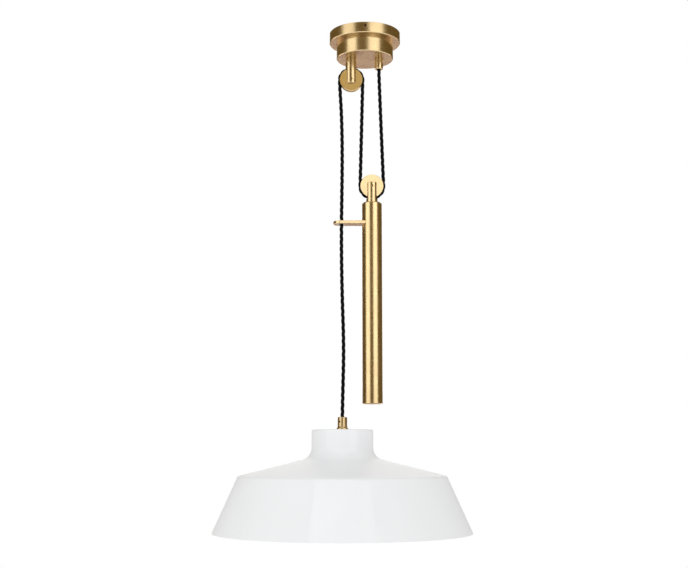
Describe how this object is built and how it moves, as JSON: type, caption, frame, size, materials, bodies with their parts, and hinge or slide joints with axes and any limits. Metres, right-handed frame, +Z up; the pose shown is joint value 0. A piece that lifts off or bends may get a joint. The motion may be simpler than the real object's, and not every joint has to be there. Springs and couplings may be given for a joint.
{
  "type": "rise and fall pendant",
  "caption": "Rise and fall ceiling pendant: a spun shade hangs on a twisted cord that runs over two pulleys to a sliding tubular counterweight with a guide arm.",
  "frame": {"origin": "middle of the face that meets the ceiling, on the bracket's top face", "axes": "+Z up towards the ceiling; +X from the shade's cord towards the cord gland; the cord runs in the plane Y = 0"},
  "size_m": [0.418, 0.4178, 0.8347],
  "materials": {
    "satin_brass": "satin",
    "white_coat": "matte",
    "zinc_steel": "satin",
    "black_flex": "matte",
    "core_cover": "satin",
    "nylon_bush": "matte",
    "terminal_plastic": "satin",
    "holder_plastic": "gloss",
    "holder_ceramic": "satin"
  },
  "bodies": {
    "ceiling_fitting": {"ceiling_bracket": "zinc_steel", "ceiling_plate": "satin_brass", "ceiling_cup": "satin_brass", "cup_screws": "zinc_steel", "rim_screws": "satin_brass", "earth_screw": "satin_brass", "terminal_block": "terminal_plastic", "terminal_screws": "zinc_steel", "terminal_fixing_screw": "zinc_steel", "hanger_fork": "satin_brass", "hanger_washer": "zinc_steel", "hanger_nut": "zinc_steel", "ceiling_axle": "satin_brass", "cord_gland": "satin_brass", "gland_nut": "zinc_steel", "gland_grub_screw": "zinc_steel", "ceiling_cores": "core_cover", "cord_in_gland": "black_flex", "cord_feed": "black_flex", "cord_over_ceiling_pulley": "black_flex", "cord_rise": "black_flex", "cord_drop": "black_flex"},
    "upper_pulley": {"ceiling_pulley": "satin_brass", "ceiling_pulley_bush": "nylon_bush"},
    "counterweight": {"weight_fork": "satin_brass", "weight_axle": "satin_brass", "weight_tube": "satin_brass", "weight_top_plug": "satin_brass", "weight_core": "zinc_steel", "weight_end_cap": "satin_brass", "guide_arm": "satin_brass", "guide_bush": "nylon_bush", "cord_under_weight_pulley": "black_flex"},
    "lower_pulley": {"weight_pulley": "satin_brass", "weight_pulley_bush": "nylon_bush"},
    "shade_assembly": {"shade": "white_coat", "cord_grip": "satin_brass", "grip_grub_screw": "zinc_steel", "grip_nipple": "zinc_steel", "shade_washer": "zinc_steel", "shade_lock_nut": "zinc_steel", "lampholder_cap": "holder_plastic", "lampholder_shell": "holder_plastic", "lamp_insert": "holder_ceramic", "screw_shell": "satin_brass", "centre_contact": "satin_brass", "cord_in_grip": "black_flex"}
  },
  "joints": [
    {"name": "shade_rise", "type": "slide", "parent": "ceiling_fitting", "child": "shade_assembly", "axis": [0, 0, 1], "range_m": [-0.3, 0.025], "deforming": ["cord_drop"]},
    {"name": "weight_travel", "type": "slide", "parent": "ceiling_fitting", "child": "counterweight", "axis": [0, 0, 1], "range_m": [-0.0126, 0.1502], "deforming": ["cord_feed", "cord_rise"]},
    {"name": "ceiling_pulley_spin", "type": "hinge", "parent": "ceiling_fitting", "child": "upper_pulley", "pos_m": [-0.0233, 0, -0.0816], "axis": [0, 1, 0], "range_deg": [-880, 75]},
    {"name": "weight_pulley_spin", "type": "hinge", "parent": "counterweight", "child": "lower_pulley", "pos_m": [0.0112, 0, -0.266], "axis": [0, 1, 0], "range_deg": [-38, 440]}
  ],
  "couplings": [
    {"joint": "weight_travel", "follows": "shade_rise", "ratio": -0.5},
    {"joint": "ceiling_pulley_spin", "follows": "shade_rise", "rad_per_m": 51.02},
    {"joint": "weight_pulley_spin", "follows": "shade_rise", "rad_per_m": -25.51}
  ]
}
